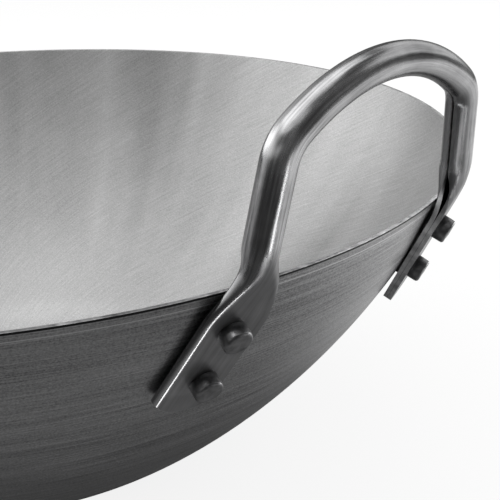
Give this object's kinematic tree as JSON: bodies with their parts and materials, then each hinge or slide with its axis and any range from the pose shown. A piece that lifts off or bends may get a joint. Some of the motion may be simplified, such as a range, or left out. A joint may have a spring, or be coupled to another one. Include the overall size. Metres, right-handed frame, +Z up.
{
  "type": "two-handled round pan",
  "caption": "Deep round pan spun from sheet steel, with a small flat base and a riveted loop handle on each side.",
  "frame": {"origin": "middle of the underside of the flat base", "axes": "+X runs through the middles of both handles, +Y along the rim, +Z up out of the bowl"},
  "size_m": [0.4218, 0.4058, 0.2046],
  "materials": {
    "bowl_steel": "lathe-brushed bare sheet steel, fine turned lines outside",
    "handle_steel": "bright drawn steel, nearly polished",
    "rivet_steel": "dull dark steel",
    "washer_steel": "dark steel"
  },
  "bodies": {
    "root": {"bowl": "bowl_steel", "handle_right": "handle_steel", "handle_left": "handle_steel", "rivet_right_front_upper": "rivet_steel", "rivet_right_front_lower": "rivet_steel", "rivet_right_back_upper": "rivet_steel", "rivet_right_back_lower": "rivet_steel", "rivet_left_front_upper": "rivet_steel", "rivet_left_front_lower": "rivet_steel", "rivet_left_back_upper": "rivet_steel", "rivet_left_back_lower": "rivet_steel", "washer_right_front_upper": "washer_steel", "washer_right_front_lower": "washer_steel", "washer_right_back_upper": "washer_steel", "washer_right_back_lower": "washer_steel", "washer_left_front_upper": "washer_steel", "washer_left_front_lower": "washer_steel", "washer_left_back_upper": "washer_steel", "washer_left_back_lower": "washer_steel"}
  },
  "joints": []
}
